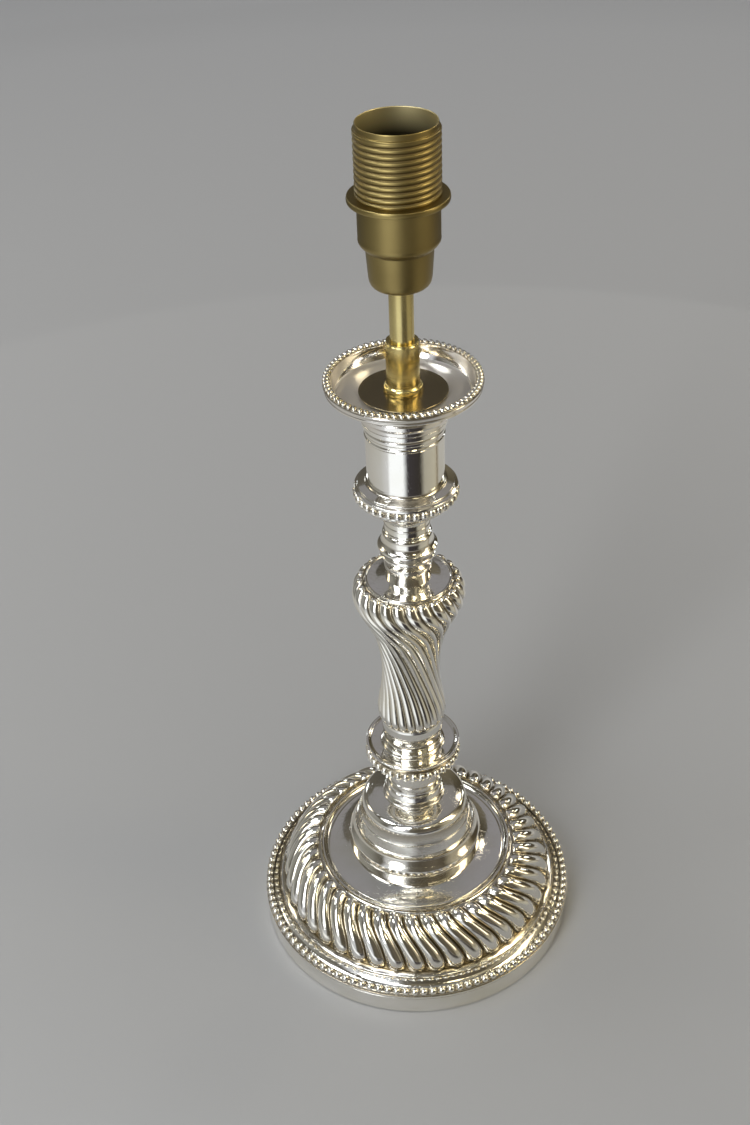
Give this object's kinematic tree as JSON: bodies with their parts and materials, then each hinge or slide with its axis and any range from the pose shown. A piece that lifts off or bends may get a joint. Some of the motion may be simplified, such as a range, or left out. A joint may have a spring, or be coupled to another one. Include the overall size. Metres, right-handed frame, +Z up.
{
  "type": "candlestick table lamp base",
  "caption": "Silver-plated candlestick lamp base: round gadrooned foot, swirl-fluted vase stem, candle socket and drip pan, with a brass threaded lampholder on a riser tube.",
  "frame": {"origin": "centre of the underside of the felt pad, on the surface that the lamp stands on", "axes": "+Z up along the stem, -Y towards the viewer of the picture, +X to the right"},
  "size_m": [0.1348, 0.1348, 0.3526],
  "materials": {
    "silver_plate": "polished, old silver plate",
    "antique_gold": "satin antique gold",
    "bright_brass": "bright satin",
    "aged_brass": "dull, tarnished",
    "steel": "zinc plated",
    "iron": "rough cast",
    "porcelain": "glazed porcelain",
    "bung": "matt black rubber",
    "felt": "green felt",
    "bushing": "matt black"
  },
  "bodies": {
    "base": {"felt_pad": "felt", "base_plate": "steel", "base_screws": "steel", "ballast": "iron", "cord_bushing": "bushing", "plinth_band": "silver_plate", "foot_shell": "silver_plate", "foot_bead": "silver_plate", "pedestal": "silver_plate", "saucer_knop": "silver_plate", "saucer_bead": "silver_plate", "baluster": "silver_plate", "upper_knop": "silver_plate", "candle_socket": "silver_plate", "socket_bead": "silver_plate", "drip_pan": "silver_plate", "drip_pan_bead": "silver_plate", "socket_plug": "bung", "plug_nut": "bright_brass", "cover_disc": "aged_brass", "ferrule": "bright_brass", "riser_tube": "bright_brass", "holder_cap": "antique_gold", "cap_grub_screw": "steel"},
    "insert": {"holder_insert": "porcelain", "screw_shell": "bright_brass", "terminal_screws": "steel"},
    "skirt": {"holder_skirt": "antique_gold"},
    "contact": {"centre_contact": "bright_brass"}
  },
  "joints": [
    {"name": "insert_lift", "type": "slide", "parent": "base", "child": "insert", "axis": [0, 0, 1], "range_m": [0, 0.006]},
    {"name": "skirt_turn", "type": "hinge", "parent": "insert", "child": "skirt", "pos_m": [0, 0, 0.34], "axis": [0, 0, 1], "range_deg": [0, 1440]},
    {"name": "contact_press", "type": "slide", "parent": "insert", "child": "contact", "axis": [0, 0, -1], "range_m": [0, 0.0012], "stiffness_N_per_m": 1500}
  ],
  "couplings": [
    {"joint": "skirt_turn", "follows": "insert_lift", "rad_per_m": 4188.8}
  ]
}
